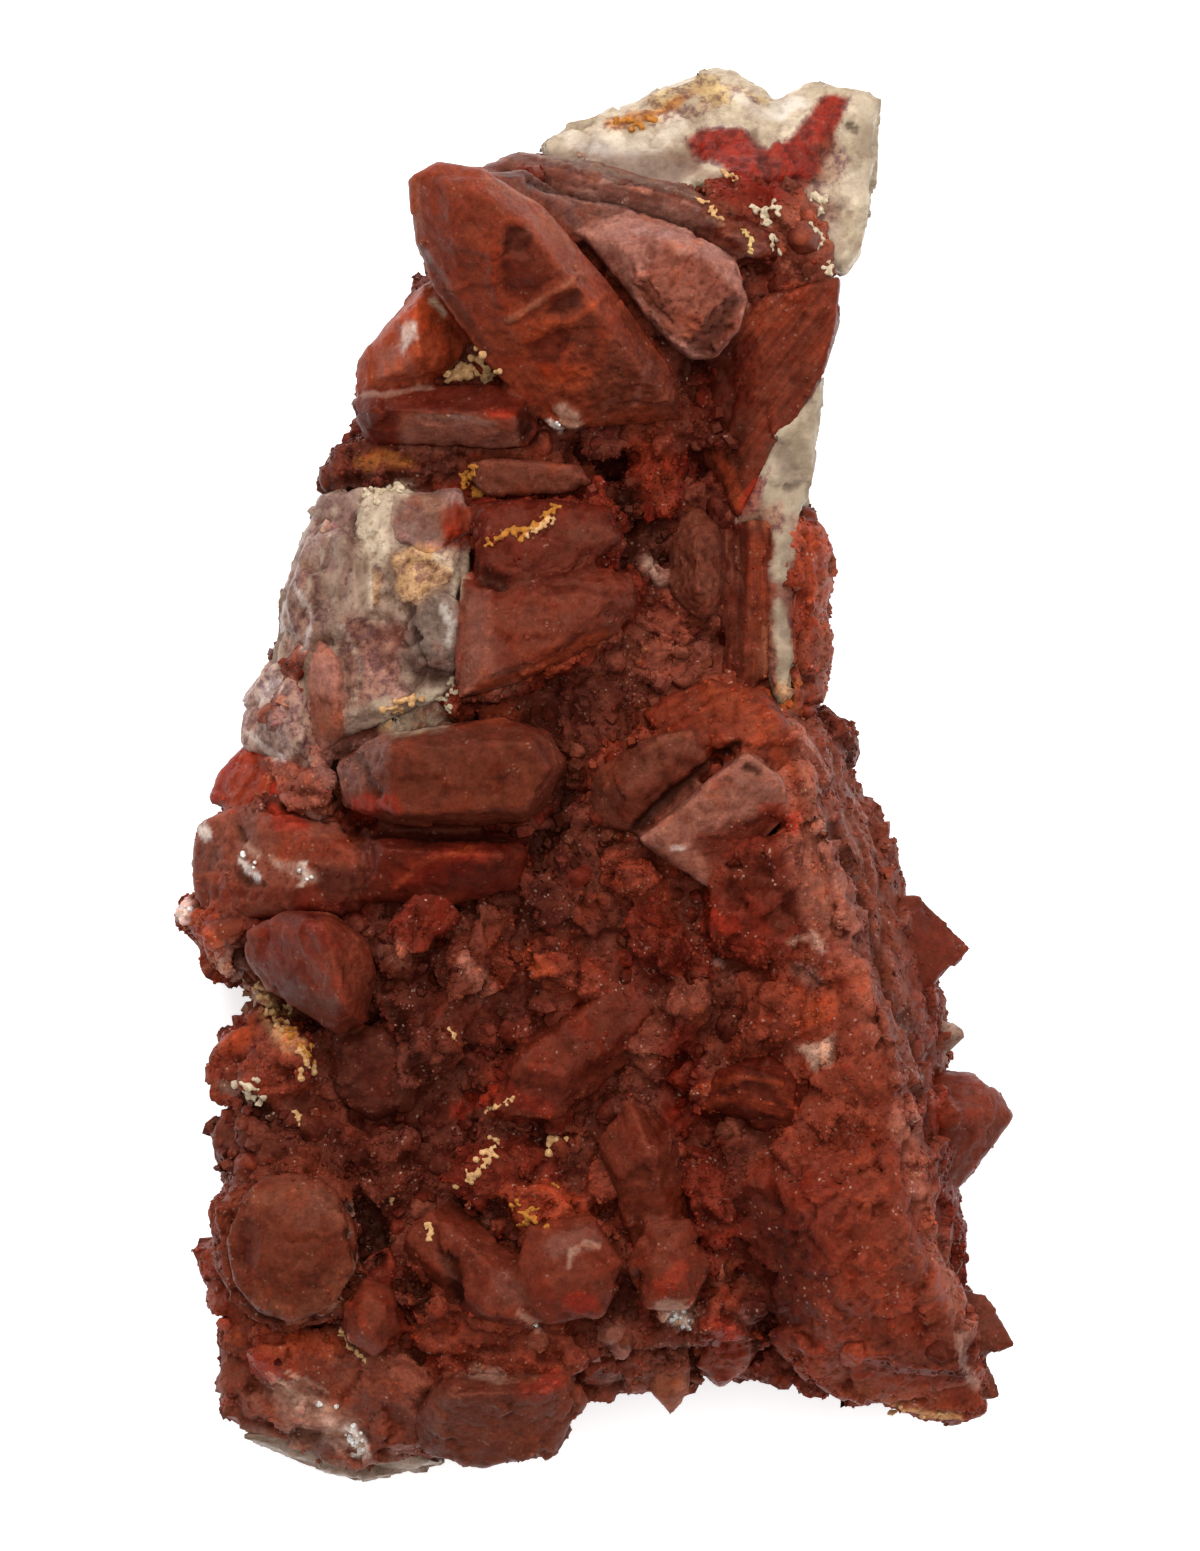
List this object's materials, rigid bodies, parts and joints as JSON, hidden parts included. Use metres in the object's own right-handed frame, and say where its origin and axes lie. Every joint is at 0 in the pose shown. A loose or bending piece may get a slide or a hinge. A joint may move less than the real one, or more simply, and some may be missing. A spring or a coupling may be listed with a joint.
{
  "type": "raw quartz crystal cluster",
  "caption": "Rough cluster of rust-red quartz crystals grown together on pale broken quartz, with a flat cut back to rest on.",
  "frame": {"origin": "on the flat cut back, near the middle of the cluster", "axes": "+Z away from the cut back, up through the crystals; +Y along the length, from the broad foot to the narrow top"},
  "size_m": [0.071, 0.1193, 0.036],
  "materials": {
    "red_quartz": "satin, worn crystal faces with fine sparkling druse"
  },
  "bodies": {
    "root": {"quartz_cluster": "red_quartz"}
  },
  "joints": []
}
